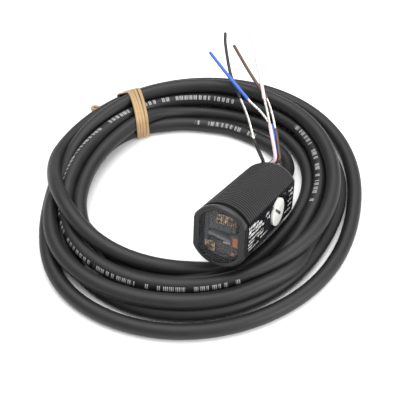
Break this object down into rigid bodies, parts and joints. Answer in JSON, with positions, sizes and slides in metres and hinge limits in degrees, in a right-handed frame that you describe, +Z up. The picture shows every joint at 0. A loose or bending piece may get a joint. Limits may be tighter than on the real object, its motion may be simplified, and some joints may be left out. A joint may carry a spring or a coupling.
{
  "type": "photoelectric sensor",
  "caption": "Threaded cylindrical photoelectric sensor with two flats, a divided optical window, a slotted side adjuster and a moulded-on cable coiled beside it with stripped free ends.",
  "frame": {"origin": "centre of the sensor's bounding box at the height of the surface it lies on, the cable left out", "axes": "+Z up from the surface; -Y towards the raised front window, so +Y runs back to the cable's exit; +X towards the flat that carries the adjuster"},
  "size_m": [0.106, 0.1108, 0.028],
  "materials": {
    "housing": "satin black threaded barrel",
    "front_bezel": "satin black",
    "front_window": "clear smoked window",
    "window_seal": "matte black gasket",
    "optics_holder": "matte dark grey",
    "light_barrier": "light grey",
    "emitter_lens": "clear moulded lens",
    "receiver_lens": "tinted moulded lens",
    "light_guides": "amber light guides",
    "front_board": "circuit board with gold pads",
    "emitter_led": "pale lamp package",
    "receiver_photodiode": "dark sensor package",
    "shield_can": "bronze-coloured sheet",
    "bronze_springs": "toothed bronze sheet",
    "indicator_leds": "amber lamp packages",
    "main_board": "green circuit board",
    "board_pins": "gold-plated pins",
    "amplifier_chip": "moulded chip package",
    "output_transistors": "moulded packages",
    "chip_parts": "small ceramic parts",
    "trimmer_body": "blue moulded case",
    "trimmer_rotor": "pale moulded rotor",
    "adjuster_knob": "white, slightly glossy",
    "knob_o_ring": "black O-ring",
    "rating_label": null,
    "rear_cap": "matte dark grey",
    "strain_relief": "matte black flexible boot",
    "inner_wires": "thin insulated conductors",
    "cable_lead": "black cable jacket",
    "cable_coil": "black cable jacket",
    "cable_tail": "black cable jacket",
    "wire_blue": "blue insulation, tinned strands",
    "wire_black": "black insulation, tinned strands",
    "wire_brown": "brown insulation, tinned strands",
    "wire_pink": "pale pink insulation, tinned strands",
    "rubber_band": "tan rubber"
  },
  "bodies": {
    "sensor": {"housing": "housing", "front_bezel": "front_bezel", "front_window": "front_window", "window_seal": "window_seal", "optics_holder": "optics_holder", "light_barrier": "light_barrier", "emitter_lens": "emitter_lens", "receiver_lens": "receiver_lens", "light_guides": "light_guides", "front_board": "front_board", "emitter_led": "emitter_led", "receiver_photodiode": "receiver_photodiode", "shield_can": "shield_can", "bronze_springs": "bronze_springs", "indicator_leds": "indicator_leds", "main_board": "main_board", "board_pins": "board_pins", "amplifier_chip": "amplifier_chip", "output_transistors": "output_transistors", "chip_parts": "chip_parts", "trimmer_body": "trimmer_body", "rating_label": "rating_label", "rear_cap": "rear_cap", "strain_relief": "strain_relief", "inner_wires": "inner_wires", "cable_lead": "cable_lead", "cable_coil": "cable_coil", "cable_tail": "cable_tail", "wire_blue": "wire_blue", "wire_black": "wire_black", "wire_brown": "wire_brown", "wire_pink": "wire_pink", "rubber_band": "rubber_band"},
    "adjuster": {"adjuster_knob": "adjuster_knob", "trimmer_rotor": "trimmer_rotor", "knob_o_ring": "knob_o_ring"}
  },
  "joints": [
    {"name": "adjuster_turn", "type": "hinge", "parent": "sensor", "child": "adjuster", "pos_m": [0.00741, 0.00173, 0.01336], "axis": [0.9877, 0.0535, 0.147], "range_deg": [-120, 120]}
  ]
}
